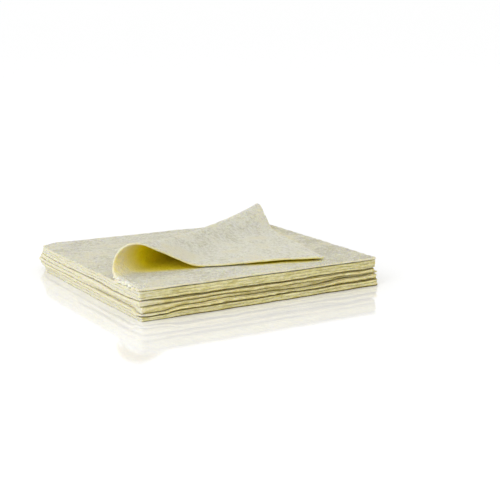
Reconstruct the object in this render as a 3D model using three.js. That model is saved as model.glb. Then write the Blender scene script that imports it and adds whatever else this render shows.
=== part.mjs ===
// A stack of square wonton wrappers, the topmost one folded back in a loose roll.
// Millimetres, +Z up. The stack lies flat on the plane z = 0, centred on the Z axis.
// Corners seen from above: front (-X -Y), right (+X -Y), back (+X +Y), left (-X +Y).

import * as THREE from 'three';

// Driving dimensions of the stack
const SIDE = 90; // edge of one wrapper
const HALF = SIDE / 2;
const STACK_HEIGHT = { front: 10.2, right: 9.3, back: 6.8, left: 9.2 }; // flat wrappers only
const FLAT_CORNERS = { front: [-45.2, -45.2], right: [45, -45], back: [45, 45], left: [-46, 46] };
const SEAM = 0.12; // air between neighbours that are pressed together
const CORNER_POWER = 12; // how close to a corner it starts to draw in
const RIM_BULGE = 0.15; // how far the rounded rim stands out past the faces
const EDGE_CELL = 0.02; // width of the narrow outer row of cells, as a share of HALF

// Wrappers that were cut together lie flush. For each batch from the floor up: how far it slides and
// turns (degrees) out of line, and how far its soft corners draw in.
const BATCHES = [
  { slide: [0.2, -0.4], turn: 0.1, cornerPull: 0.4 },
  { slide: [-0.3, -0.6], turn: 0.2, cornerPull: 0.6 },
  { slide: [0.2, 0.75], turn: 0.8, cornerPull: 0.4 },
  { slide: [-0.3, -0.2], turn: -0.2, cornerPull: 0.5 },
  { slide: [0, 0], turn: 0, cornerPull: 0.5 },
];

// The flat wrappers from the floor up: thickness as a share of the stack, batch, how far the seam above
// it gapes at the edges, and which way that gape faces (degrees from +X).
const FLAT_SHEETS = [
  { share: 1.05, batch: 0, gape: 0, facing: 0 },
  { share: 1.15, batch: 0, gape: 0.25, facing: -100 },
  { share: 1.15, batch: 1, gape: 0.2, facing: -30 },
  { share: 1.3, batch: 2, gape: 0.3, facing: -55 },
  { share: 1.5, batch: 3, gape: 0.3, facing: -110 },
  { share: 1.1, batch: 4, gape: 0, facing: 0 },
  { share: 1.05, batch: 4, gape: 0, facing: 0 },
  { share: 1.05, batch: 4, gape: 0.25, facing: -90 },
];
const FLAT_CELLS = 12;
const SEAM_WAVE = 0.4; // height of the slow waves of a seam halfway up
const SEAM_WAVE_LENGTHS = [61, 43, 37];
const SEAM_PHASE_STEP = 0.9; // radians from one seam's waves to the next
const EDGE_WAVE = 0.3; // how far a cut edge wanders in and out
const EDGE_WAVE_TURNS = [3.1, 7.3]; // radians of wander over half a side
const EDGE_PHASE_STEP = 2.4; // radians from one batch's edges to the next
const GAPE_DEPTH = 9; // how far in from the edge a seam gapes

// The folded wrapper
const TOP_THICKNESS = 0.8;
const TOP_CELLS = 40;
const TOP_CORNERS = {
  front: [-45.3, -45.3],
  right: [44.2, -45.2],
  back: [43.6, 44.2],
  left: [-48.3, 51.0], // before folding, stretched a little by hand
};
const ROLL_START = 18; // from the front corner along the left edge to the roll's axis
const ROLL_TURN = THREE.MathUtils.degToRad(39); // the axis, from +X towards +Y
const ROLL_LENGTH = 115;
const ROLL_RADIUS = { front: 6.2, middle: 3.1, back: 4.6 };
const ROLL_SHIFT = { front: -3.3, back: 1.5 }; // the roll's outermost line, from the axis
const ROLL_OVERTURN = THREE.MathUtils.degToRad(29); // how far past half a turn it rolls
const LANDING_RADIUS = 3.3; // the flap's upward bend where it lands, in roll radii
const FLAP_CLEARANCE = 1.1; // middle of the flap above the middle of the sheet below
const FLAP_RISE = 0.6; // extra height of the flap's free corner
const FLAP_RISE_LENGTH = 45;
const FLAP_DRIFT = 1.3; // how far the flap slips along the axis
const TOP_WAVE = 0.15;
const TOP_WAVE_LENGTH = 34;
const NORMAL_STEP = 1e-3; // in u and v

const DOUGH = { color: 0xdcd4ac, roughness: 0.85, metalness: 0 };

const smooth = (t) => THREE.MathUtils.smoothstep(t, 0, 1);
const mix = THREE.MathUtils.lerp;

// Blends one value for each corner over the square, u and v from -1 to 1.
function acrossCorners({ front, right, back, left }, u, v) {
  const a = (u + 1) / 2;
  const b = (v + 1) / 2;
  return mix(mix(front, right, a), mix(left, back, a), b);
}

// The same for plan positions.
function planAcross({ front, right, back, left }, u, v) {
  const [x, y] = [0, 1].map((k) => acrossCorners(
    { front: front[k], right: right[k], back: back[k], left: left[k] }, u, v,
  ));
  return new THREE.Vector2(x, y);
}

function stackHeight(x, y) {
  return acrossCorners(STACK_HEIGHT, x / HALF, y / HALF);
}

// Grid lines from -1 to 1, with a narrow cell at each end.
function gridLines(cells) {
  const inner = 1 - EDGE_CELL;
  const lines = [-1];
  for (let i = 0; i <= cells - 2; i += 1) {
    lines.push(mix(-inner, inner, i / (cells - 2)));
  }
  lines.push(1);
  return lines;
}

// A thin closed sheet: two faces on the same grid, joined round the border by a rounded rim.
// upper, under and rim each turn (u, v) into a THREE.Vector3.
function sheetGeometry(cells, upper, under, rim) {
  const lines = gridLines(cells);
  const count = lines.length;
  const points = [];
  for (const face of [upper, under]) {
    for (const v of lines) {
      for (const u of lines) {
        points.push(face(u, v));
      }
    }
  }
  const at = (i, j) => j * count + i;
  const underside = count * count;
  const index = [];
  for (let j = 0; j < cells; j += 1) {
    for (let i = 0; i < cells; i += 1) {
      const [a, b, c, d] = [at(i, j), at(i + 1, j), at(i + 1, j + 1), at(i, j + 1)];
      index.push(a, b, c, a, c, d);
      const [e, f, g, h] = [a, b, c, d].map((k) => k + underside);
      index.push(e, g, f, e, h, g);
    }
  }
  const steps = [...Array(cells).keys()];
  const border = [
    ...steps.map((k) => [k, 0]),
    ...steps.map((k) => [cells, k]),
    ...steps.map((k) => [cells - k, cells]),
    ...steps.map((k) => [0, cells - k]),
  ];
  const ring = points.length;
  for (const [i, j] of border) {
    points.push(rim(lines[i], lines[j]));
  }
  border.forEach(([i, j], k) => {
    const next = (k + 1) % border.length;
    const top = [at(i, j), at(...border[next])];
    const middle = [ring + k, ring + next];
    const low = top.map((p) => p + underside);
    index.push(top[0], middle[0], middle[1], top[0], middle[1], top[1]);
    index.push(middle[0], low[0], low[1], middle[0], low[1], middle[1]);
  });
  const geometry = new THREE.BufferGeometry().setFromPoints(points);
  geometry.setIndex(index);
  geometry.computeVertexNormals();
  return geometry;
}

// Flat wrappers

const rimScale = 1 + RIM_BULGE / HALF;
const totalShare = FLAT_SHEETS.reduce((sum, sheet) => sum + sheet.share, 0);

// Height of the seam above the first `below` sheets, as a share of the stack.
function seamLevel(below) {
  return FLAT_SHEETS.slice(0, below).reduce((sum, sheet) => sum + sheet.share, 0) / totalShare;
}

// Slow waves of one seam, strongest halfway up and none at the floor or the top.
function seamWave(below, x, y) {
  const level = seamLevel(below);
  const phase = below * SEAM_PHASE_STEP;
  const [along, across, slant] = SEAM_WAVE_LENGTHS.map((length) => (2 * Math.PI) / length);
  const waves = Math.sin(along * x + phase) + Math.sin(across * y + 2 * phase)
    + Math.sin(slant * (x + y) * Math.SQRT1_2 + 3 * phase);
  return (SEAM_WAVE * 4 * level * (1 - level) * waves) / SEAM_WAVE_LENGTHS.length;
}

// How far a seam gapes near the edges, widest where the sheet below it says.
function seamGape(below, x, y) {
  const { gape, facing } = FLAT_SHEETS[below - 1];
  const inset = HALF - Math.max(Math.abs(x), Math.abs(y));
  const turn = Math.atan2(y, x) - THREE.MathUtils.degToRad(facing);
  return ((gape * (1 + Math.cos(turn))) / 2) * smooth(1 - inset / GAPE_DEPTH);
}

function seamHeight(below, x, y) {
  return stackHeight(x, y) * seamLevel(below) + seamWave(below, x, y);
}

// Plan position of a point of one flat sheet, with soft corners and a wandering edge.
function planPoint({ batch }, u, v) {
  const { slide, turn, cornerPull } = BATCHES[batch];
  const pull = (cornerPull / HALF) * Math.abs(u * v) ** CORNER_POWER;
  const phase = batch * EDGE_PHASE_STEP;
  const [slow, quick] = EDGE_WAVE_TURNS;
  const wanderX = EDGE_WAVE * Math.sin(slow * v + phase) * Math.sin(quick * v + 2 * phase);
  const wanderY = EDGE_WAVE * Math.sin(slow * u + 3 * phase) * Math.sin(quick * u + phase);
  const plan = planAcross(FLAT_CORNERS, u - Math.sign(u) * pull, v - Math.sign(v) * pull);
  plan.add(new THREE.Vector2(wanderX * u, wanderY * v));
  plan.rotateAround(new THREE.Vector2(), THREE.MathUtils.degToRad(turn));
  return plan.add(new THREE.Vector2(...slide));
}

function flatSheet(sheet, order) {
  const plan = (u, v) => planPoint(sheet, u, v);
  const halfSeam = (below, p) => (below > 0 ? SEAM + seamGape(below, p.x, p.y) : 0) / 2;
  const underHeight = (p) => seamHeight(order, p.x, p.y) + halfSeam(order, p);
  const upperHeight = (p) => seamHeight(order + 1, p.x, p.y) - halfSeam(order + 1, p);
  const lift = (p, z) => new THREE.Vector3(p.x, p.y, z);
  const upper = (u, v) => lift(plan(u, v), upperHeight(plan(u, v)));
  const under = (u, v) => lift(plan(u, v), underHeight(plan(u, v)));
  const rim = (u, v) => {
    const p = plan(u * rimScale, v * rimScale);
    return lift(p, (upperHeight(p) + underHeight(p)) / 2);
  };
  return sheetGeometry(FLAT_CELLS, upper, under, rim);
}

// Folded wrapper

const axisStart = new THREE.Vector2(-HALF, -HALF + ROLL_START);
const axisAlong = new THREE.Vector2(Math.cos(ROLL_TURN), Math.sin(ROLL_TURN));
const axisAcross = new THREE.Vector2(axisAlong.y, -axisAlong.x); // towards the flap's resting side

// Radius of the roll at a share w of its length, through the three given radii.
function rollRadius(w) {
  const { front, middle, back } = ROLL_RADIUS;
  return front * (1 - w) * (1 - 2 * w) + 4 * middle * w * (1 - w) + back * w * (2 * w - 1);
}

// The roll in section: where a point lies that is `run` past the line where the sheet lifts off.
// Gives its distance across the axis, from that line, its height and the share of the roll passed.
function rollSection(run, radius) {
  if (run <= 0) return { across: -run, height: 0, passed: 0 };
  const half = Math.PI + ROLL_OVERTURN;
  const landing = LANDING_RADIUS * radius;
  const fall = radius * (1 + Math.cos(ROLL_OVERTURN)) - FLAP_CLEARANCE
    - landing * (1 - Math.cos(ROLL_OVERTURN));
  const slope = Math.max(fall, 0) / Math.sin(ROLL_OVERTURN);
  const total = radius * half + slope + landing * ROLL_OVERTURN;
  const turned = Math.min(run / radius, half);
  let across = -radius * Math.sin(turned);
  let height = radius * (1 - Math.cos(turned));
  const descended = THREE.MathUtils.clamp(run - radius * half, 0, slope);
  across += descended * Math.cos(ROLL_OVERTURN);
  height -= descended * Math.sin(ROLL_OVERTURN);
  const bent = THREE.MathUtils.clamp((run - radius * half - slope) / landing, 0, ROLL_OVERTURN);
  across += landing * (Math.sin(ROLL_OVERTURN) - Math.sin(ROLL_OVERTURN - bent));
  height -= landing * (Math.cos(ROLL_OVERTURN - bent) - Math.cos(ROLL_OVERTURN));
  const beyond = Math.max(run - total, 0);
  across += beyond;
  height += FLAP_RISE * smooth(beyond / FLAP_RISE_LENGTH);
  return { across, height, passed: smooth(run / total) };
}

// The middle of the folded wrapper.
function foldedMiddle(u, v) {
  const flat = planAcross(TOP_CORNERS, u, v).sub(axisStart);
  const along = flat.dot(axisAlong);
  const w = THREE.MathUtils.clamp(along / ROLL_LENGTH, 0, 1);
  const radius = rollRadius(w);
  const liftOff = mix(ROLL_SHIFT.front, ROLL_SHIFT.back, w) + radius;
  const section = rollSection(liftOff - flat.dot(axisAcross), radius);
  const plan = axisStart.clone()
    .addScaledVector(axisAlong, along + FLAP_DRIFT * section.passed)
    .addScaledVector(axisAcross, liftOff + section.across);
  const base = seamHeight(FLAT_SHEETS.length, plan.x, plan.y) + SEAM / 2 + TOP_THICKNESS / 2;
  const wave = TOP_WAVE * (1 + Math.sin((2 * Math.PI * plan.x) / TOP_WAVE_LENGTH));
  return new THREE.Vector3(plan.x, plan.y, base + wave * section.passed + section.height);
}

// Outward direction of the face that starts uppermost.
function foldedNormal(u, v) {
  const alongU = foldedMiddle(u + NORMAL_STEP, v).sub(foldedMiddle(u - NORMAL_STEP, v));
  const alongV = foldedMiddle(u, v + NORMAL_STEP).sub(foldedMiddle(u, v - NORMAL_STEP));
  return alongU.cross(alongV).normalize();
}

function foldedSheet() {
  const offset = (u, v, out) => foldedMiddle(u, v).addScaledVector(foldedNormal(u, v), out);
  const upper = (u, v) => offset(u, v, TOP_THICKNESS / 2);
  const under = (u, v) => offset(u, v, -TOP_THICKNESS / 2);
  const rim = (u, v) => foldedMiddle(u * rimScale, v * rimScale);
  return sheetGeometry(TOP_CELLS, upper, under, rim);
}

// The scene graph: one named mesh for each wrapper

const stack = new THREE.Group();

function addSheet(name, geometry) {
  const mesh = new THREE.Mesh(geometry, new THREE.MeshStandardMaterial(DOUGH));
  mesh.name = name;
  stack.add(mesh);
}

FLAT_SHEETS.forEach((sheet, order) => addSheet(`sheet_${order + 1}`, flatSheet(sheet, order)));
addSheet('folded_sheet', foldedSheet());

// The origin is under the middle of the stack's bounding box.
const middle = new THREE.Box3().setFromObject(stack).getCenter(new THREE.Vector3());
stack.position.set(-middle.x, -middle.y, 0);

export default stack;
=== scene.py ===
"""Looks of a stack of wonton wrappers: floury dough sheets with the top one folded back in a loose roll.

Every wrapper starts from its CAD sheet, which is merged, rounded by subdivision and given the small
unevenness of rolled and cut dough. Metres, in the frame of the CAD model.
"""

import math
import random

import bmesh
import bpy
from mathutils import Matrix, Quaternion, Vector, noise
from mathutils.bvhtree import BVHTree


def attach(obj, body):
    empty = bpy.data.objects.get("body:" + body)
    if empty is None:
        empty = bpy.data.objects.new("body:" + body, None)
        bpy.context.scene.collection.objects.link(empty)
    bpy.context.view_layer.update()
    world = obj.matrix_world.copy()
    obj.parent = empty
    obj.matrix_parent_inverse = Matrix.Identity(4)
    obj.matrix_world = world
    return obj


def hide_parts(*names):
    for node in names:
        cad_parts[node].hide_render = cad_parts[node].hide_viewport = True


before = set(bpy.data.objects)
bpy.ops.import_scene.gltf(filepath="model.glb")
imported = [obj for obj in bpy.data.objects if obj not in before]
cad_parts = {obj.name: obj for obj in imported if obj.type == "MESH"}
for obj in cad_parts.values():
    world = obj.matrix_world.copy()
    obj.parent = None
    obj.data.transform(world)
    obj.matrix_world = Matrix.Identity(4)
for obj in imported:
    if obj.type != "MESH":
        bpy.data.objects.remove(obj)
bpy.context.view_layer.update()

MM = 0.001
DOWN = Vector((0, 0, -1))

# Camera, from the corners of the stack in the photograph
CAMERA_PLACE = Vector((-0.26505, -0.56894, 0.1524))
CAMERA_YAW = math.radians(63.48)
CAMERA_PITCH = math.radians(12.85)
CAMERA_ROLL = math.radians(1.68)
CAMERA_LENS = 129.6
CAMERA_CLIP = 10 * MM

# Sheets, from the floor up
FLAT_SHEETS = [name for name in sorted(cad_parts) if name.startswith("sheet_")]
TOP_FLAT_SHEET = FLAT_SHEETS[-1]
FOLDED_SHEET = "folded_sheet"
CRIMPED_SHEET = "sheet_3"
FRONT_SIDE = -43.5 * MM
LEFT_SIDE = -43.5 * MM
INSIDE_BORDER = 43.5 * MM
ABOVE_STACK = 40 * MM

# Seams between the sheets, each as a lower and an upper sheet, and how much painted shade each gets
# along the cut edges
PRESSED_SEAMS = [("sheet_1", "sheet_2"), ("sheet_6", "sheet_7"), ("sheet_7", "sheet_8")]
DEEP_SEAMS = [("sheet_2", "sheet_3"), ("sheet_5", "sheet_6")]
# Painted shade along each seam, none where two sheets are pressed together
PRESSED_SEAM = 0.0
TOP_SEAM = 0.9
OPEN_SEAM = 1.0
DEEP_SEAM = 1.35
# Painted contact shadow where the lowest sheet meets the floor
FLOOR_CONTACT_SHADE = 2.8
FULL_SHADE = 1.0

# Cut edges, which are told by the tilt of the surface or by the short steps across them
MERGE_DISTANCE = 0.005 * MM
FACE_LIFT = 0.6
RIM_LIFT = 0.95
BORDER_LIFT = 0.3
RIM_STEP = 0.6 * MM
BORDER = 41 * MM
FLAT_CUTS = 1
FOLDED_CUTS = 3
PRESSED_CREASE = 1.0
OPEN_CREASE = 0.3
FLAT_LEVELS = 3
FOLDED_LEVELS = 2
PLUMPNESS = 0.03 * MM

# Unevenness of the dough
CLOUD_DETAIL = 2
FINER_EACH_OCTAVE = 2.0
RIM_NIBBLES = [(0.30 * MM, 4.5 * MM), (0.14 * MM, 1.1 * MM)]
WRINKLE_HEIGHT = 0.12 * MM
WRINKLE_LENGTH = 20 * MM
WRINKLE_WIDTH = 2.8 * MM
WRINKLE_SOFTNESS = 1.0
WRINKLE_OCTAVES = 2
FULL_WRINKLE = 9 * MM
CRIMP_DEPTH = 0.16 * MM
CRIMP_LENGTH = 4.2 * MM
CRIMP_SLANT = 3.0
CRIMP_DRIFT = 4
CRIMP_DRIFT_LENGTH = 14 * MM
CRIMP_STRENGTH_ROW = 5
FRONT_CORNER = Vector((-45, -45)) * MM
PINCH = 0.4
PINCH_PULL = 0.5 * MM
PINCH_REACH = 4 * MM

# Unevenness that neighbouring sheets share, so that they keep fitting
SWAY = (0.2 * MM, 0.45 * MM)
SWAY_SIZE = (7 * MM, 7 * MM, 1.3 * MM)
SWAY_APART = Vector((3.7, 8.2, 5.1))
SAG = 0.3 * MM
SAG_SIZE = (9 * MM, 9 * MM, 3.5 * MM)
CALM_FLOOR = 0.15
CALM_TOP = 0.8
CALM_LEFT = 0.35
CALM_LEFT_REACH = 12 * MM
DIP = 1.0 * MM
DIP_HEIGHT = 2.4 * MM
DIP_FADE = 4 * MM
DIP_REACH = (8 * MM, 15 * MM)
DIP_STEEPER_LEFT = 2.5
LEFT_CORNER = Vector((-45, 45)) * MM
LEFT_CORNER_REACH = 7 * MM
LEFT_CORNER_FROM = 0.4
LEFT_CORNER_PULL = Vector((1.1, -1.1, -0.4)) * MM
LEFT_CORNER_TUCK = Vector((1.3, -1.3, 0)) * MM
TUCKED_BELOW = 0.4
RISE = 0.8 * MM
RISE_FROM = (14 * MM, 33 * MM)
RISE_HEIGHT = 3.3 * MM
RISE_FADE = 1.3 * MM

# Torn left edge of the folded sheet, between the front corner and the roll
TORN_EDGE = -44.9 * MM
TORN_DEPTH = 3.0 * MM
TORN_FROM = -46 * MM
TORN_TO = -24 * MM
TORN_FADE = 0.5
TORN_HEIGHT = 0.9 * MM
TORN_RAISED = 0.3
TORN_REACH = 1.3 * MM
TORN_SIZE = 2.2 * MM
TORN_SOFTNESS = 0.8
TORN_OCTAVES = 3
TORN_APART = Vector((0, 0, 7))

# Crumbs along that edge
CRUMB_SEED = 11
CRUMB_COUNT = 70
CRUMB_DIVISIONS = 2
CRUMBS_TO = -28 * MM
CRUMB_SPREAD = 1.5 * MM
CRUMB_RADIUS = (0.08 * MM, 0.38 * MM)
CRUMB_FLATNESS = (0.3, 0.7)
CRUMB_SINK = 0.1
CRUMB_LUMP = 0.2 * MM

# The roll, which runs from its mouth at the left edge towards the back corner
ROLL_TURN = math.radians(39)
ROLL_INWARD = Vector((math.cos(ROLL_TURN), math.sin(ROLL_TURN), 0))
ROLL_MOUTH = ROLL_INWARD.dot(Vector((-45, -27, 0))) * MM
# Painted shade: the inside of the roll is painted from the mouth colour to deep yellow over this depth
ROLL_GLOOM = (4 * MM, 24 * MM)
FLOOR_LIFT = 0.8
SHELTER_START = 0.2 * MM
SHELTER_FROM = 0.4 * MM
SHELTER_REACH = 40 * MM
SHELTER_LOOKS = (0, 0.6, 1.5)
SHELTER_BLUR = 10
# Painted shade on the roll's floor: full where its roof is this near, none beyond the second distance
ROOF_SHADE_DISTANCES = (2 * MM, 12 * MM)

# The flap that the roll ends in
FLAP_HEIGHT = 1.45 * MM
FLAP_UNDERSIDE = 1.02 * MM
FLAP_FLAT = (3 * MM, 6 * MM)
FLAP_SETTLE = 0.45 * MM
FLAP_TIP = (18 * MM, 34 * MM)

# Colours, linear
FLOUR = (0.628, 0.617, 0.52, 1.0)
THIN_FLOUR = (0.42, 0.395, 0.285, 1.0)
WARM_FLOUR = (0.60, 0.56, 0.40, 1.0)
LOOSE_FLOUR = (0.80, 0.785, 0.71, 1.0)
CUT_DOUGH = (0.53, 0.465, 0.185, 1.0)
PALE_CUT = (0.76, 0.695, 0.395, 1.0)
# Cut edge with flour dust, and on the left side painted light: paler and less yellow; the crumbs use it
# too
DUST_AND_LIGHT_CUT = (0.725, 0.69, 0.54, 1.0)
# Painted shade in the seams between the sheets, and the painted contact shadow at the floor
PAINTED_SEAM_SHADE = (0.14, 0.10, 0.006, 1.0)
# Inside of the roll, painted yellower than the floured face for the shade and bounced light in it,
# starting from this at the mouth
ROLL_MOUTH_YELLOW = (0.73, 0.665, 0.40, 1.0)
OLIVE_DOUGH = (0.81, 0.705, 0.19, 1.0)
# Painted shade deep inside the roll
PAINTED_DEEP_SHADE = (0.95, 0.82, 0.008, 1.0)
# Painted shade where the roof of the roll closes in over its floor
PAINTED_ROOF_SHADE = (0.68, 0.57, 0.02, 1.0)

# Sizes of the patterns in the dough and its flour
PATCH_SIZE = 11 * MM
BLOTCH_SIZE = 1.5 * MM
BLOTCH_DETAIL = 5
BLOTCH_ROUGHNESS = 0.65
FLECK_SIZE = 1.4 * MM
GRAIN_SIZE = 0.65 * MM
FINE_DETAIL = 1
STREAK_SIZE = (5 * MM, 1.4 * MM, 1.4 * MM)
STREAK_DETAIL = 5
LAYER_SIZE = (3 * MM, 3 * MM, 0.4 * MM)
LAYER_DETAIL = 4
CLUMP_SIZE = 0.6 * MM

# Floury face: shares of patches, blotches, flecks, grain and streaks, and where the colours change
SCATTER_SHARES = (0.15, 0.15, 0.2, 0.3, 0.2)
FLOUR_RANGE = (0.37, 0.59)
# Painted light: the folded-over part gets this much more flour, which paints it paler
FLAP_PAINTED_LIGHT = 0.03
LESS_TO_RIGHT = 0.04
LESS_RANGE = (0, 40 * MM)
WARM_SHARE = 0.7
WARM_RANGE = (0.50, 0.68)

# Cut edge: shares of layers and blotches, and where the colours change
PALE_SHARES = (0.65, 0.35)
# Painted light and shade at the top and bottom of each cut edge
PALE_SHADE = 0.1
PALE_RANGE = (0.38, 0.60)
DUST_RANGE = (0.15, 0.6)
# Painted shade along the seams
SEAM_SHARE = 0.6
SEAM_RANGE = (0.55, 1.0)
DEEP_SEAM_SHARE = 0.35
DEEP_SEAM_RANGE = (0.95, 1.3)
DUST_IN_SEAM = 0.9

# Inside of the roll and torn edge: where the colours change
OLIVE_BLOTCH_SHARE = 0.5
OLIVE_BLOTCH_RANGE = (0.42, 0.60)
# Painted shade: where the inside of the roll turns olive and then deep yellow towards its depth
MOUTH_RANGE = (0.03, 0.55)
DEEP_RANGE = (0.5, 1)
TORN_RANGE = (0.35, 0.55)
CLUMP_RANGE = (0.35, 0.65)

# Relief: shares of blotches, grain, flecks and streaks on the face, of blotches and layers on the cut
FACE_RELIEF_SHARES = (0.3, 0.45, 0.45, 0.4)
CUT_RELIEF_SHARES = (0.2, 0.25)
CUT_RELIEF_LEVEL = 0.575
RELIEF_STRENGTH = 1.0
RELIEF_HEIGHT = 0.8 * MM

# Sheen and depth of the surfaces
DOUGH_ROUGHNESS = 0.85
DOUGH_SHEEN = 0.25
DOUGH_GLOW = 0.5
DOUGH_GLOW_RADIUS = (1.0, 0.8, 0.2)
DOUGH_GLOW_DEPTH = 1.5 * MM
CRUMB_ROUGHNESS = 0.95
CRUMB_SHEEN = 0.1

# Studio
FLOOR_SIZE = 6.0
FLOOR_WHITE = (0.915, 0.915, 0.915, 1.0)
FLOOR_ROUGHNESS = 0.08
FLOOR_IOR = 2.5
WORLD_WHITE = (1.0, 1.0, 1.0, 1.0)
WORLD_STRENGTH = 1.03
KEY_PLACE = Vector((-0.74, -0.36, 0.42))
KEY_SIZE = 0.6
KEY_POWER = 2.6


def smooth(share):
    """0 below 0, 1 above 1, smooth between."""
    share = min(max(share, 0.0), 1.0)
    return share * share * (3 - 2 * share)


def between(value, low, high):
    """0 below low, 1 above high, smooth between."""
    return smooth((value - low) / (high - low))


def scaled(place, size):
    """The place, counted in sizes."""
    return Vector([along / each for along, each in zip(place, size)])


def select_only(piece):
    """Leaves just this piece selected and active."""
    bpy.ops.object.select_all(action="DESELECT")
    piece.select_set(True)
    bpy.context.view_layer.objects.active = piece


def apply_modifier(piece, kind, **settings):
    """Adds one modifier, sets it up and applies it to the mesh."""
    select_only(piece)
    modifier = piece.modifiers.new(kind.title(), kind)
    for name, value in settings.items():
        setattr(modifier, name, value)
    bpy.ops.object.modifier_apply(modifier=modifier.name)


def merged_copy(node, name):
    """A copy of a CAD sheet whose loose triangles are merged into four-sided cells."""
    piece = bpy.data.objects.new(name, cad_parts[node].data.copy())
    bpy.context.scene.collection.objects.link(piece)
    select_only(piece)
    bpy.ops.mesh.customdata_custom_splitnormals_clear()
    bpy.ops.object.mode_set(mode="EDIT")
    bpy.ops.mesh.select_all(action="SELECT")
    bpy.ops.mesh.remove_doubles(threshold=MERGE_DISTANCE)
    bpy.ops.mesh.tris_convert_to_quads(face_threshold=math.pi, shape_threshold=math.pi)
    bpy.ops.object.mode_set(mode="OBJECT")
    piece.data.materials.clear()
    return piece


def mesh_tree(piece):
    """A search tree of a mesh, for casting rays at it."""
    mesh = piece.data
    return BVHTree.FromPolygons([v.co for v in mesh.vertices], [p.vertices for p in mesh.polygons])


def store(piece, name, values):
    """Stores a number at each point of the mesh, for the material."""
    attribute = piece.data.attributes.new(name, "FLOAT", "POINT")
    attribute.data.foreach_set("value", [float(value) for value in values])


def flat_rim(mesh):
    """The points of a flat sheet's cut edge, and those of them that no flour lies on."""
    points = mesh.vertices
    rim = [point.index for point in points if abs(point.normal.z) < RIM_LIFT]
    flourless = [i for i in rim if points[i].normal.z < BORDER_LIFT or points[i].co.y < TORN_TO]
    return rim, flourless


def folded_rim(mesh):
    """The points of the folded sheet's cut edge, and the middle ones, which no flour lies on."""
    short_steps = [0] * len(mesh.vertices)
    for edge in mesh.edges:
        first, second = (mesh.vertices[index].co for index in edge.vertices)
        if (first - second).length < RIM_STEP:
            for index in edge.vertices:
                short_steps[index] += 1
    rim = [index for index, steps in enumerate(short_steps) if steps]
    flourless = [index for index, steps in enumerate(short_steps) if steps > 1]
    return rim, flourless


def seam_shade_amounts(node):
    """How deep the painted shade of the seams above and below a sheet is."""
    if node == FOLDED_SHEET:
        return PRESSED_SEAM, PRESSED_SEAM
    depths = [OPEN_SEAM, OPEN_SEAM]
    for side in (0, 1):
        if node in [seam[side] for seam in PRESSED_SEAMS]:
            depths[side] = PRESSED_SEAM
        elif node in [seam[side] for seam in DEEP_SEAMS]:
            depths[side] = DEEP_SEAM
    if node == TOP_FLAT_SHEET:
        depths[0] = PRESSED_SEAM
    if node == FLAT_SHEETS[0]:
        depths[1] = FLOOR_CONTACT_SHADE
    return depths


def mark_rim(piece, node):
    """Marks the cut edge as a group for the modifiers, and for the material bare dough and flour dust,
    which on the left side is painted light as well.
    """
    vertices = piece.data.vertices
    rim, flourless = folded_rim(piece.data) if node == FOLDED_SHEET else flat_rim(piece.data)
    piece.vertex_groups.new(name="rim").add(rim, 1.0, "REPLACE")
    covered = node not in (FOLDED_SHEET, TOP_FLAT_SHEET)
    bare = [covered] * len(vertices)
    for index in flourless:
        bare[index] = True
    store(piece, "bare", bare)
    # Flour dust on the folded sheet and on the left side; on the left side it also paints light, a paler
    # and less yellow cut edge
    store(piece, "dust_and_light", [node == FOLDED_SHEET or v.co.x < LEFT_SIDE for v in vertices])
    mark_seams(piece, node, rim)


def mark_seams(piece, node, rim):
    """Marks the painted shade of the seams along the cut edge, and the painted shade that each seam
    gives it: the top of the edge lighter, its bottom darker.
    """
    vertices = piece.data.vertices
    above, below = seam_shade_amounts(node)
    seam_shade = [0.0] * len(vertices)
    shaded = [0.0] * len(vertices)
    for index in rim:
        lift = vertices[index].normal.z
        if abs(lift) <= BORDER_LIFT:
            continue
        # Painted shade: the seam's darkness on this border, and the border painted lighter at the top of
        # the edge and darker at its bottom
        depth = above if lift > 0 else below
        seam_shade[index] = depth
        shaded[index] = -math.copysign(min(depth, FULL_SHADE), lift)
        # The top sheet's front edge, under the folded sheet, gets a painted shade of its own
        if node == TOP_FLAT_SHEET and lift > 0 and vertices[index].co.y < FRONT_SIDE:
            seam_shade[index] = TOP_SEAM
    store(piece, "seam_shade", seam_shade)
    store(piece, "shaded", shaded)


def refine_border(piece, cuts, until=math.inf):
    """Cuts the cells along the border into finer ones up to that Y, so that the edge can be uneven."""
    mesh = bmesh.new()
    mesh.from_mesh(piece.data)
    edges = []
    for edge in mesh.edges:
        first, second = (vertex.co for vertex in edge.verts)
        run = [abs(a - b) for a, b in zip(first, second)]
        by_front = min(abs(first.y), abs(second.y)) > BORDER and run[0] > max(run[1], run[2])
        by_left = min(abs(first.x), abs(second.x)) > BORDER and run[1] > max(run[0], run[2])
        if (by_front or by_left) and max(first.y, second.y) < until:
            edges.append(edge)
    bmesh.ops.subdivide_edges(mesh, edges=edges, cuts=cuts)
    mesh.to_mesh(piece.data)
    mesh.free()


def crease_rim(piece, node):
    """Keeps the cut edge sharp where two sheets are pressed together, and rounder at an open seam."""
    pressed_above = node in [lower for lower, upper in PRESSED_SEAMS]
    pressed_below = node in [upper for lower, upper in PRESSED_SEAMS]
    mesh = bmesh.new()
    mesh.from_mesh(piece.data)
    crease = mesh.edges.layers.float.new("crease_edge")
    for edge in mesh.edges:
        lifts = sorted(face.normal.z for face in edge.link_faces)
        if lifts[-1] > FACE_LIFT > lifts[0]:
            edge[crease] = PRESSED_CREASE if pressed_above else OPEN_CREASE
        elif lifts[0] < -FACE_LIFT < lifts[-1]:
            edge[crease] = PRESSED_CREASE if pressed_below else OPEN_CREASE
    mesh.to_mesh(piece.data)
    mesh.free()


def cloud(name, size):
    """A soft noise for the Displace modifier."""
    texture = bpy.data.textures.new(name, "CLOUDS")
    texture.noise_scale = size
    texture.noise_depth = CLOUD_DETAIL
    return texture


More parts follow.
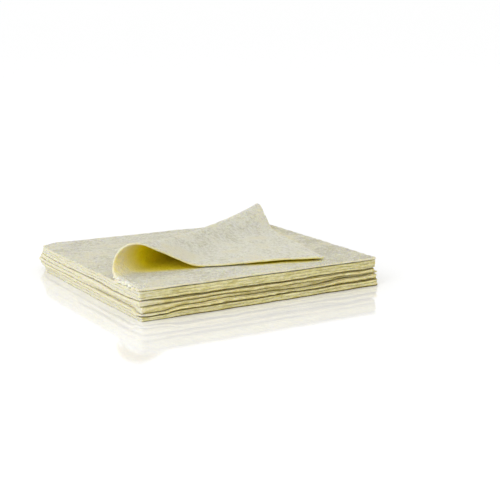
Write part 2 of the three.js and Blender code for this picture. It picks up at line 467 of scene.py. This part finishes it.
def roll_out(piece, levels):
    """Rounds a sheet and gives it the unevenness of rolled and cut dough."""
    apply_modifier(piece, "SUBSURF", levels=levels, render_levels=levels)
    apply_modifier(piece, "DISPLACE", direction="NORMAL", strength=PLUMPNESS, mid_level=0.0)
    for depth, size in RIM_NIBBLES:
        apply_modifier(
            piece, "DISPLACE", texture=cloud("nibbled rim", size), texture_coords="LOCAL",
            direction="NORMAL", strength=depth, mid_level=0.5, vertex_group="rim",
        )
    for vertex in piece.data.vertices:
        x, y, z = vertex.co
        place = Vector((x / WRINKLE_LENGTH, y / WRINKLE_WIDTH, 0))
        wrinkle = noise.fractal(place, WRINKLE_SOFTNESS, FINER_EACH_OCTAVE, WRINKLE_OCTAVES)
        vertex.co.z += WRINKLE_HEIGHT * min(z / FULL_WRINKLE, 1) * wrinkle
    select_only(piece)
    bpy.ops.object.shade_smooth()


def crimp_rim(piece):
    """Presses slanting dents into the front of the cut edge, like a loosely twisted rope."""
    rim = piece.vertex_groups["rim"].index
    turns = math.tau / CRIMP_LENGTH
    normals = [vertex.normal.copy() for vertex in piece.data.vertices]
    for vertex, normal in zip(piece.data.vertices, normals):
        x, y, z = vertex.co
        if y > FRONT_SIDE:
            continue
        weight = sum(entry.weight for entry in vertex.groups if entry.group == rim)
        along = x / CRIMP_DRIFT_LENGTH
        drift = CRIMP_DRIFT * noise.noise(Vector((along, 0, 0)))
        strength = 1 + noise.noise(Vector((along, CRIMP_STRENGTH_ROW, 0)))
        wave = math.sin(turns * (x + CRIMP_SLANT * z) + drift)
        push = Vector((normal.x, normal.y, 0))
        vertex.co += push * (CRIMP_DEPTH * strength * weight * wave)


def pinch_corner(piece):
    """Thins and pulls in the front corner, which leaves small gaps above and below it."""
    near = [v for v in piece.data.vertices if (v.co.xy - FRONT_CORNER).length < PINCH_REACH]
    middle = sum(vertex.co.z for vertex in near) / len(near)
    for vertex in near:
        share = smooth(1 - (vertex.co.xy - FRONT_CORNER).length / PINCH_REACH)
        pull = PINCH_PULL * share
        vertex.co += Vector((pull, pull, PINCH * share * (middle - vertex.co.z)))


def stack_height(top, x, y):
    """How high the flat stack is at a place, or just inside its border."""
    inside = [min(max(along, -INSIDE_BORDER), INSIDE_BORDER) for along in (x, y)]
    return top.ray_cast(Vector((*inside, ABOVE_STACK)), DOWN)[0].z


def front_dip(x, y, z):
    """How far the sheets dip near the front corner."""
    away = math.hypot(x - FRONT_CORNER.x, DIP_STEEPER_LEFT * (y - FRONT_CORNER.y))
    height = min(z / DIP_HEIGHT, 1) * (1 - smooth((z - DIP_HEIGHT) / DIP_FADE))
    return DIP * height * (1 - between(away, *DIP_REACH))


def right_rise(x, z):
    """How far the sheets rise towards the right corner."""
    rise = RISE * between(x, *RISE_FROM)
    return rise * max(min(z / RISE_HEIGHT, 1 - (z - RISE_HEIGHT) / RISE_FADE), 0)


def left_corner_shift(spot, level):
    """How the left corner is rounded: its upper sheets pulled in and down, its lowest tucked in."""
    near = smooth(1 - (spot - LEFT_CORNER).length / LEFT_CORNER_REACH)
    pull = near * between(level, LEFT_CORNER_FROM, 1)
    tuck = near * smooth(1 - level / TUCKED_BELOW)
    return LEFT_CORNER_PULL * pull + LEFT_CORNER_TUCK * tuck


def shift_together(piece, top):
    """Moves the points of a flat sheet by soft noises of their place, which fade out at the top."""
    for vertex in piece.data.vertices:
        x, y, z = vertex.co
        level = z / stack_height(top, x, y)
        below_top = 1 - between(level, CALM_TOP, 1)
        lively = CALM_LEFT + (1 - CALM_LEFT) * smooth((x - LEFT_CORNER.x) / CALM_LEFT_REACH)
        swaying = scaled((x, y, z), SWAY_SIZE)
        sag = noise.noise(scaled((x, y, z), SAG_SIZE))
        bend = right_rise(x, z) - front_dip(x, y, z)
        corner = left_corner_shift(vertex.co.xy, level)
        vertex.co.x += SWAY[0] * lively * below_top * noise.noise(swaying)
        vertex.co.y += SWAY[1] * lively * below_top * noise.noise(swaying + SWAY_APART)
        vertex.co.z += SAG * lively * below_top * smooth(level / CALM_FLOOR) * sag + bend
        vertex.co += corner
        vertex.co.z = max(vertex.co.z, 0)


def torn_noise(place):
    """A ragged noise for the torn edge."""
    return noise.fractal(place, TORN_SOFTNESS, FINER_EACH_OCTAVE, TORN_OCTAVES)


def tear_left_edge(piece):
    """Thickens, frays and flours the left edge in front of the roll."""
    middle = (TORN_FROM + TORN_TO) / 2
    half = (TORN_TO - TORN_FROM) / 2
    vertices = piece.data.vertices
    undersides = [vertex.normal.z < 0 for vertex in vertices]
    torn = [0.0] * len(vertices)
    for vertex, underside in zip(vertices, undersides):
        x, y, _ = vertex.co
        share = smooth(1 - (x - TORN_EDGE) / TORN_DEPTH)
        share *= smooth((1 - abs(y - middle) / half) / TORN_FADE)
        if share == 0:
            continue
        place = Vector((x, y, 0)) / TORN_SIZE
        lift = TORN_RAISED + torn_noise(place)
        vertex.co.z += TORN_HEIGHT * share * (min(lift, 0) if underside else lift)
        vertex.co.x += TORN_REACH * share * torn_noise(place + TORN_APART)
        torn[vertex.index] = share
    store(piece, "torn", torn)


def settle_flap(piece, bed):
    """Lets the tip of the flap down onto the sheet below it."""
    below = mesh_tree(bed)
    for vertex in piece.data.vertices:
        height = below.ray_cast(vertex.co, DOWN)[3] or 0
        if height < FLAP_UNDERSIDE or max(abs(vertex.co.x), abs(vertex.co.y)) > BORDER:
            continue
        flat = 1 - between(height, *FLAP_FLAT)
        vertex.co.z -= FLAP_SETTLE * flat * between(vertex.co.x, *FLAP_TIP)


def blurred(mesh, values):
    """The values, evened out over neighbouring points."""
    for _ in range(SHELTER_BLUR):
        totals = list(values)
        counts = [1] * len(values)
        for edge in mesh.edges:
            a, b = edge.vertices
            totals[a] += values[b]
            totals[b] += values[a]
            counts[a] += 1
            counts[b] += 1
        values = [total / count for total, count in zip(totals, counts)]
    return values


def roof_distances(vertex, own):
    """How far off the sheet itself is, straight out from a point and leaning into the roll, or 0."""
    start = vertex.co + vertex.normal * SHELTER_START
    along = ROLL_INWARD * (1 - between(vertex.normal.z, FLOOR_LIFT, 1))
    looks = [(vertex.normal + along * share).normalized() for share in SHELTER_LOOKS]
    return [own.ray_cast(start, look, SHELTER_REACH)[3] or 0 for look in looks]


def mark_roll(piece, bed):
    """Marks the inside of the roll, its depth for the painted gloom, its narrow side for painted shade
    where the roof comes close, and what is folded over.
    """
    mesh = piece.data
    own = mesh_tree(piece)
    below = mesh_tree(bed)
    inside = []
    roof_shade = []
    depth = []
    turned = []
    for vertex in mesh.vertices:
        roofs = roof_distances(vertex, own)
        inside.append(max(roofs) > SHELTER_FROM)
        on_floor = roofs[0] and vertex.normal.z > FLOOR_LIFT
        # Painted shade on the roll's floor, darker the nearer the roof above it
        roof_shade.append(1 - between(roofs[0], *ROOF_SHADE_DISTANCES) if on_floor else 0.0)
        # Depth into the roll, which the material paints as deeper shade
        depth.append(between(ROLL_INWARD.dot(vertex.co) - ROLL_MOUTH, *ROLL_GLOOM))
        turned.append((below.ray_cast(vertex.co, DOWN)[3] or 0) > FLAP_HEIGHT)
    store(piece, "depth", depth)
    store(piece, "turned", turned)
    store(piece, "roofed", blurred(mesh, inside))
    store(piece, "roof_shade", blurred(mesh, roof_shade))


class Wire:
    """A value in a shader. Arithmetic on wires adds Math nodes, and node() adds any other node."""

    def __init__(self, tree, socket=None):
        self.tree = tree
        self.socket = socket

    def node(self, kind, settings, sockets, output=0):
        """Adds a node: its settings first, then the values or links of its sockets."""
        made = self.tree.nodes.new(kind)
        for name, value in settings.items():
            setattr(made, name, value)
        for name, value in sockets.items():
            if isinstance(value, Wire):
                value.feed(made.inputs[name])
            else:
                made.inputs[name].default_value = value
        return Wire(self.tree, made.outputs[output])

    def feed(self, socket):
        """Links this value to a socket."""
        self.tree.links.new(self.socket, socket)

    def calculate(self, operation, first, second):
        """Adds one Math node."""
        return self.node("ShaderNodeMath", {"operation": operation}, {0: first, 1: second})

    def __add__(self, other):
        return self.calculate("ADD", self, other)

    def __radd__(self, other):
        return self.calculate("ADD", other, self)

    def __sub__(self, other):
        return self.calculate("SUBTRACT", self, other)

    def __rsub__(self, other):
        return self.calculate("SUBTRACT", other, self)

    def __mul__(self, other):
        return self.calculate("MULTIPLY", self, other)

    def __rmul__(self, other):
        return self.calculate("MULTIPLY", other, self)

    def object_place(self):
        """The place in the object's own coordinates."""
        return self.node("ShaderNodeTexCoord", {}, {}, output=3)

    def attribute(self, name):
        """A number stored at the mesh's points."""
        return self.node("ShaderNodeAttribute", {"attribute_name": name}, {}, output=2)

    def noise(self, place, size, detail=3.0, roughness=0.55):
        """Noise from 0 to 1 whose blobs are about `size` metres across."""
        return self.node(
            "ShaderNodeTexNoise", {},
            {"Vector": place, "Scale": 1.0 / size, "Detail": detail, "Roughness": roughness},
        )

    def stretched_noise(self, place, size, detail, turn=0.0):
        """Noise whose blobs have a size along each axis, turned about Z."""
        counted = self.node(
            "ShaderNodeMapping", {"vector_type": "TEXTURE"},
            {"Vector": place, "Rotation": (0, 0, turn), "Scale": size},
        )
        return self.noise(counted, 1.0, detail)

    def ramp(self, value, low, high):
        """0 below low, 1 above high, smooth between."""
        return self.node(
            "ShaderNodeMapRange", {"interpolation_type": "SMOOTHSTEP"},
            {"Value": value, "From Min": low, "From Max": high},
        )

    def blend(self, share, first, second):
        """A colour between two."""
        return self.node(
            "ShaderNodeMix", {"data_type": "RGBA"}, {0: share, 6: first, 7: second}, output=2,
        )


def weighted(shares, wires):
    """The sum of the wires, each times its share."""
    parts = [share * wire for share, wire in zip(shares, wires)]
    total = parts[0]
    for part in parts[1:]:
        total = total + part
    return total


def new_material(name):
    """An empty material: its starting wire and its surface shader are returned with it."""
    material = bpy.data.materials.new(name)
    material.use_nodes = True
    tree = material.node_tree
    tree.nodes.clear()
    shader = tree.nodes.new("ShaderNodeBsdfPrincipled")
    output = tree.nodes.new("ShaderNodeOutputMaterial")
    tree.links.new(shader.outputs["BSDF"], output.inputs["Surface"])
    return material, Wire(tree), shader


class DoughPattern:
    """The patterns of the dough, and the colours and relief that they give its parts."""

    def __init__(self, wire):
        place = wire.object_place()
        self.wire = wire
        self.across = wire.node("ShaderNodeSeparateXYZ", {}, {"Vector": place})
        self.bare = wire.attribute("bare")
        self.turned = wire.attribute("turned")
        self.patches = wire.noise(place, PATCH_SIZE)
        self.blotches = wire.noise(place, BLOTCH_SIZE, BLOTCH_DETAIL, BLOTCH_ROUGHNESS)
        self.flecks = wire.noise(place, FLECK_SIZE, FINE_DETAIL)
        self.grain = wire.noise(place, GRAIN_SIZE, FINE_DETAIL)
        self.layers = wire.stretched_noise(place, LAYER_SIZE, LAYER_DETAIL)
        flat_streaks = wire.stretched_noise(place, STREAK_SIZE, STREAK_DETAIL)
        turned_streaks = wire.stretched_noise(place, STREAK_SIZE, STREAK_DETAIL, 2 * ROLL_TURN)
        self.streaks = flat_streaks * (1 - self.turned) + turned_streaks * self.turned

    def floury_face(self):
        """Flour of uneven thickness, warmer in patches and darker towards the right; painted light makes
        the folded-over part paler.
        """
        wire = self.wire
        noises = (self.patches, self.blotches, self.flecks, self.grain, self.streaks)
        scatter = weighted(SCATTER_SHARES, noises)
        darker_to_right = LESS_TO_RIGHT * wire.ramp(self.across, *LESS_RANGE) * (1 - self.turned)
        # Painted light: more flour on the folded-over part paints it paler
        flour = wire.ramp(scatter + FLAP_PAINTED_LIGHT * self.turned - darker_to_right, *FLOUR_RANGE)
        even_face = wire.blend(flour, THIN_FLOUR, FLOUR)
        return wire.blend(WARM_SHARE * wire.ramp(self.patches, *WARM_RANGE), even_face, WARM_FLOUR)

    def cut_edge(self):
        """Yellow dough in fine layers, paler on the left with flour dust and painted light, and with
        painted shade: lighter at the top of each edge, darker at its bottom and dark along the seams.
        """
        wire = self.wire
        dust_and_light = wire.attribute("dust_and_light")
        layered = weighted(PALE_SHARES, (self.layers, self.blotches))
        # Painted light and shade: lighter at the top of the cut edge, darker at its bottom
        paler = layered - PALE_SHADE * wire.attribute("shaded")
        bare_cut = wire.blend(wire.ramp(paler, *PALE_RANGE), CUT_DOUGH, PALE_CUT)
        cut = wire.blend(dust_and_light * wire.ramp(self.layers, *DUST_RANGE), bare_cut, DUST_AND_LIGHT_CUT)
        # Painted shade along the seams, weaker where the edge is dusted
        seam = wire.attribute("seam_shade")
        open_seam = SEAM_SHARE * wire.ramp(seam, *SEAM_RANGE)
        deep_seam = DEEP_SEAM_SHARE * wire.ramp(seam, *DEEP_SEAM_RANGE)
        seam_shade = (open_seam + deep_seam) * (1 - DUST_IN_SEAM * dust_and_light)
        return wire.blend(seam_shade, cut, PAINTED_SEAM_SHADE)

    def inside_of_roll(self):
        """Inside of the roll, painted yellow for the shade and bounced light in it: olive and then deep
        yellow towards its depth, and painted dark where the roof comes close.
        """
        wire = self.wire
        depth = wire.attribute("depth")
        olive = OLIVE_BLOTCH_SHARE * wire.ramp(self.blotches, *OLIVE_BLOTCH_RANGE)
        inner_tone = wire.blend(olive, ROLL_MOUTH_YELLOW, OLIVE_DOUGH)
        mouth = wire.blend(wire.ramp(depth, *MOUTH_RANGE), inner_tone, OLIVE_DOUGH)
        inside = wire.blend(wire.ramp(depth, *DEEP_RANGE), mouth, PAINTED_DEEP_SHADE)
        # Painted shade where the roof closes in
        return wire.blend(wire.attribute("roof_shade"), inside, PAINTED_ROOF_SHADE)

    def colour(self):
        """All parts together, with loose flour on the torn edge."""
        wire = self.wire
        outside = wire.blend(self.bare, self.floury_face(), self.cut_edge())
        roofed = wire.attribute("roofed") * (1 - self.bare)
        dough = wire.blend(roofed, outside, self.inside_of_roll())
        torn = wire.attribute("torn") * wire.ramp(self.blotches, *TORN_RANGE)
        return wire.blend(torn, dough, LOOSE_FLOUR)

    def relief(self):
        """Fine bumps, whose mean height is the same on the face and on the cut edge."""
        noises = (self.blotches, self.grain, self.flecks, self.streaks)
        face = weighted(FACE_RELIEF_SHARES, noises)
        cut = CUT_RELIEF_LEVEL + weighted(CUT_RELIEF_SHARES, (self.blotches, self.layers))
        height = face * (1 - self.bare) + cut * self.bare
        return self.wire.node(
            "ShaderNodeBump", {},
            {"Strength": RELIEF_STRENGTH, "Distance": RELIEF_HEIGHT, "Height": height},
        )


def dough_material():
    """Pale dough dusted with flour, yellower where it is cut, and painted yellow inside the roll for the
    shade and bounced light there.
    """
    material, wire, shader = new_material("floury dough")
    pattern = DoughPattern(wire)
    pattern.colour().feed(shader.inputs["Base Color"])
    pattern.relief().feed(shader.inputs["Normal"])
    shader.inputs["Roughness"].default_value = DOUGH_ROUGHNESS
    shader.inputs["Specular IOR Level"].default_value = DOUGH_SHEEN
    shader.inputs["Subsurface Weight"].default_value = DOUGH_GLOW
    shader.inputs["Subsurface Radius"].default_value = DOUGH_GLOW_RADIUS
    shader.inputs["Subsurface Scale"].default_value = DOUGH_GLOW_DEPTH
    return material


def flour_material():
    """Loose white flour."""
    material, wire, shader = new_material("loose flour")
    clumps = wire.ramp(wire.noise(wire.object_place(), CLUMP_SIZE), *CLUMP_RANGE)
    wire.blend(clumps, DUST_AND_LIGHT_CUT, LOOSE_FLOUR).feed(shader.inputs["Base Color"])
    shader.inputs["Roughness"].default_value = CRUMB_ROUGHNESS
    shader.inputs["Specular IOR Level"].default_value = CRUMB_SHEEN
    return material


def floor_material():
    """White, polished table."""
    material, _, shader = new_material("white table")
    shader.inputs["Base Color"].default_value = FLOOR_WHITE
    shader.inputs["Roughness"].default_value = FLOOR_ROUGHNESS
    shader.inputs["IOR"].default_value = FLOOR_IOR
    return material


def finish_sheet(piece, node, dough):
    """Gives a wrapper its material and puts it in place of its CAD sheet."""
    piece.data.materials.append(dough)
    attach(piece, "root")
    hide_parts(node)


def make_flat_sheet(node, top, dough):
    """One wrapper of the stack."""
    piece = merged_copy(node, f"{node}_dough")
    mark_rim(piece, node)
    refine_border(piece, FLAT_CUTS)
    crease_rim(piece, node)
    roll_out(piece, FLAT_LEVELS)
    if node == CRIMPED_SHEET:
        crimp_rim(piece)
        pinch_corner(piece)
    shift_together(piece, top)
    finish_sheet(piece, node, dough)
    return piece


def make_folded_sheet(bed, dough):
    """The topmost wrapper, which is folded over itself and lies on its bed."""
    piece = merged_copy(FOLDED_SHEET, f"{FOLDED_SHEET}_dough")
    mark_rim(piece, FOLDED_SHEET)
    refine_border(piece, FOLDED_CUTS, TORN_TO)
    roll_out(piece, FOLDED_LEVELS)
    settle_flap(piece, bed)
    tear_left_edge(piece)
    mark_roll(piece, bed)
    finish_sheet(piece, FOLDED_SHEET, dough)
    return piece


def make_crumb(place, radius, flatness, turn, texture):
    """One lumpy crumb, pressed flat and sunk a little into what it lies on."""
    place.z += radius * flatness * CRUMB_SINK
    bpy.ops.mesh.primitive_ico_sphere_add(
        subdivisions=CRUMB_DIVISIONS, radius=radius, location=place, rotation=(0, 0, turn),
        scale=(1.0, flatness, flatness),
    )
    crumb = bpy.context.object
    bpy.ops.object.transform_apply(location=True, rotation=True, scale=True)
    apply_modifier(
        crumb, "DISPLACE", texture=texture, texture_coords="LOCAL", direction="NORMAL",
        strength=CRUMB_LUMP, mid_level=0.5,
    )
    return crumb


def make_crumbs(flour, bed):
    """Crumbs of dough and flour along the torn edge, joined into one piece."""
    chance = random.Random(CRUMB_SEED)
    tree = mesh_tree(bed)
    texture = cloud("lumpy crumb", CRUMB_RADIUS[1])
    crumbs = []
    while len(crumbs) < CRUMB_COUNT:
        x = chance.gauss(TORN_EDGE + CRUMB_SPREAD, CRUMB_SPREAD)
        y = chance.uniform(TORN_FROM, CRUMBS_TO)
        radius = chance.uniform(*CRUMB_RADIUS)
        flatness = chance.uniform(*CRUMB_FLATNESS)
        turn = chance.uniform(0, math.tau)
        place = tree.ray_cast(Vector((x, y, ABOVE_STACK)), DOWN)[0]
        if place is not None:
            crumbs.append(make_crumb(place, radius, flatness, turn, texture))
    select_only(crumbs[0])
    for crumb in crumbs:
        crumb.select_set(True)
    bpy.ops.object.join()
    piece = bpy.context.object
    piece.name = "flour_crumbs"
    piece.data.name = "flour_crumbs"
    bpy.ops.object.shade_smooth()
    piece.data.materials.append(flour)
    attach(piece, "root")


def make_studio():
    """The table, the white surroundings and one large soft light."""
    bpy.ops.object.select_all(action="DESELECT")
    bpy.ops.mesh.primitive_plane_add(size=FLOOR_SIZE)
    floor = bpy.context.object
    floor.name = "table"
    floor.data.materials.append(floor_material())
    world = bpy.data.worlds.new("white room")
    bpy.context.scene.world = world
    world.use_nodes = True
    background = world.node_tree.nodes["Background"]
    background.inputs["Color"].default_value = WORLD_WHITE
    background.inputs["Strength"].default_value = WORLD_STRENGTH
    bpy.ops.object.light_add(type="AREA", location=KEY_PLACE)
    key = bpy.context.object
    key.name = "key light"
    key.rotation_euler = (-KEY_PLACE).to_track_quat("-Z", "Y").to_euler()
    key.data.size = KEY_SIZE
    key.data.energy = KEY_POWER
    bpy.context.scene.view_settings.view_transform = "Standard"


def make_camera():
    """Stands where the photograph was taken."""
    data = bpy.data.cameras.new("camera")
    camera = bpy.data.objects.new("camera", data)
    bpy.context.scene.collection.objects.link(camera)
    level = math.cos(CAMERA_PITCH)
    sideways = math.cos(CAMERA_YAW) * level
    onwards = math.sin(CAMERA_YAW) * level
    ahead = Vector((sideways, onwards, -math.sin(CAMERA_PITCH)))
    turn = ahead.to_track_quat("-Z", "Y") @ Quaternion((0, 0, 1), -CAMERA_ROLL)
    camera.location = CAMERA_PLACE
    camera.rotation_euler = turn.to_euler()
    data.lens = CAMERA_LENS
    data.clip_start = CAMERA_CLIP
    bpy.context.scene.camera = camera


make_camera()
make_studio()
dough = dough_material()
stack_top = mesh_tree(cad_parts[TOP_FLAT_SHEET])
for sheet in FLAT_SHEETS:
    top_flat = make_flat_sheet(sheet, stack_top, dough)
folded = make_folded_sheet(top_flat, dough)
make_crumbs(flour_material(), folded)
